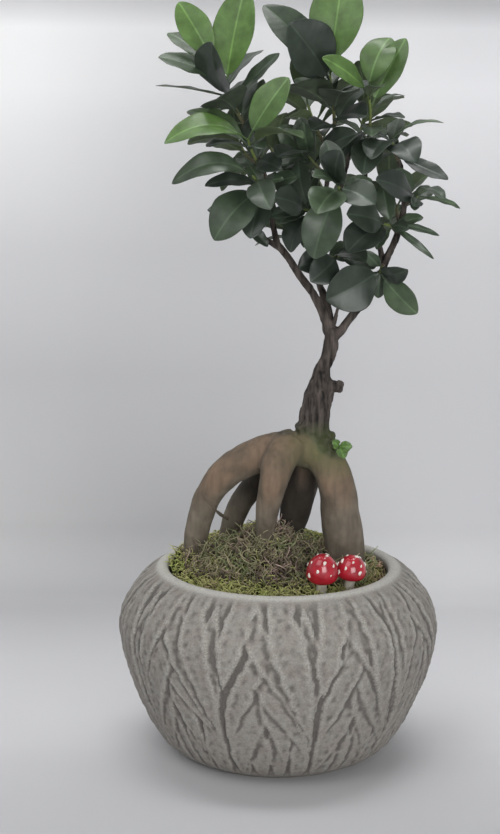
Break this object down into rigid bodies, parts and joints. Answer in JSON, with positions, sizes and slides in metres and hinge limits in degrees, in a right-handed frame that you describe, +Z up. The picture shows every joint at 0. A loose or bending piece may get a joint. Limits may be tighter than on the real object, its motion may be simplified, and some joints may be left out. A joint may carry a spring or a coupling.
{
  "type": "bonsai tree in a pot",
  "caption": "Grafted fig bonsai on swollen bare roots, standing in moss in a round bowl cast with overlapping leaves, with toadstool ornaments at its foot.",
  "frame": {"origin": "centre of the pot's flat underside, on the surface that it stands on", "axes": "+Z up through the plant, -Y towards the front of the plant as pictured, +X to its right"},
  "size_m": [0.2338, 0.2238, 0.542],
  "materials": {
    "concrete": "cast cement with a pitted, dry-brushed leaf relief and a smooth rolled lip",
    "soil": "packed dark potting compost",
    "moss": "preserved olive moss with dry brown strands",
    "bark": "grey-brown fig bark with fine lenticels",
    "leaf": "waxy dark green blade with a pale midrib and a paler underside",
    "young_leaf": "soft bright green new growth",
    "red_gloss": "glossy red paint with raised white spots",
    "white_stem": "matt off-white"
  },
  "bodies": {
    "root": {"pot": "concrete", "soil": "soil", "moss": "moss", "tree": "bark", "spray_top_left": "leaf", "spray_left_arch": "leaf", "spray_left_long": "leaf", "spray_left_low": "leaf", "spray_top_centre": "leaf", "spray_top_right": "leaf", "spray_right": "leaf", "spray_right_arch": "leaf", "spray_right_mid": "leaf", "spray_right_low": "leaf", "spray_front_centre": "leaf", "spray_front_left": "leaf", "spray_middle_low": "leaf", "spray_centre": "leaf", "spray_back_left": "leaf", "spray_back_centre": "leaf", "spray_back_right": "leaf", "spray_back_top": "leaf", "spray_inner": "leaf", "spray_right_back": "leaf", "spray_left_back": "leaf", "sprout": "young_leaf", "toadstool_left_stem": "white_stem", "toadstool_left_cap": "red_gloss", "toadstool_right_stem": "white_stem", "toadstool_right_cap": "red_gloss"}
  },
  "joints": []
}
